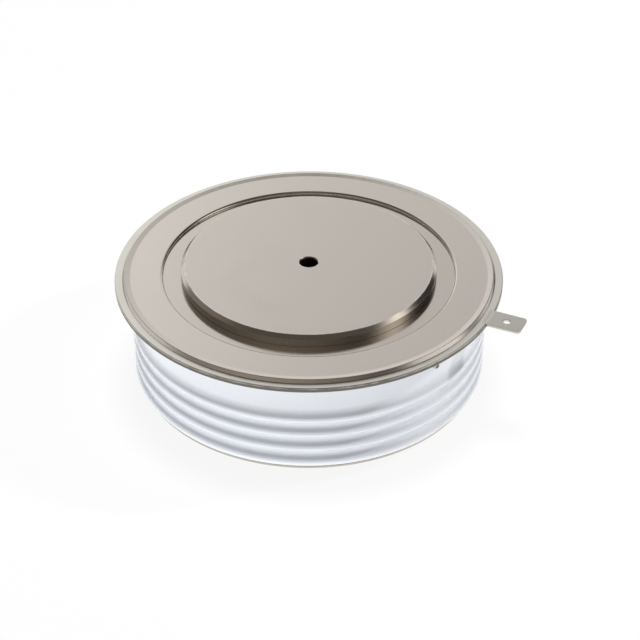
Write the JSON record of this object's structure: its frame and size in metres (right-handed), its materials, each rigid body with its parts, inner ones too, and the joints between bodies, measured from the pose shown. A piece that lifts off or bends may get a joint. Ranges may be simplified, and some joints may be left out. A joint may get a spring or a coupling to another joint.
{
  "type": "disc thyristor",
  "caption": "Press-pack disc thyristor: nickel-plated contact poles on both faces of a ribbed white ceramic ring, with a welded rim, a flat auxiliary cathode tab and a gate stub.",
  "frame": {"origin": "centre of the anode contact face, at the mouth of its locating hole", "axes": "+Z from the anode face to the cathode face, +X along the auxiliary cathode tab"},
  "size_m": [0.0826, 0.076, 0.026],
  "materials": {
    "glazed_alumina": "white alumina with a clear glaze",
    "rim_nickel": "nickel-plated nickel-iron, satin",
    "flange_nickel": "nickel-plated pressed sheet, satin",
    "pole_nickel": "nickel-plated copper, lapped contact face",
    "molybdenum": "ground molybdenum",
    "silicon": "polished silicon with aluminium metallisation",
    "edge_rubber": "cast silicone rubber",
    "fluoropolymer": "turned white fluoropolymer",
    "gate_metal": "silvered spring metal"
  },
  "bodies": {
    "root": {"ceramic_ring": "glazed_alumina", "upper_weld_ring": "rim_nickel", "cathode_flange": "flange_nickel", "cathode_pole_piece": "pole_nickel", "anode_flange": "flange_nickel", "anode_pole_piece": "pole_nickel", "anode_molybdenum_disc": "molybdenum", "silicon_wafer": "silicon", "cathode_molybdenum_disc": "molybdenum", "wafer_edge_rubber": "edge_rubber", "locating_ring": "fluoropolymer", "gate_contact_pin": "gate_metal", "gate_spring": "gate_metal", "gate_spring_washer": "gate_metal", "gate_insulating_cup": "fluoropolymer", "gate_pin_guide": "fluoropolymer", "gate_lead_wire": "gate_metal", "gate_lead_sleeve": "fluoropolymer", "gate_feedthrough_tube": "rim_nickel", "gate_tube_collar": "rim_nickel"}
  },
  "joints": []
}
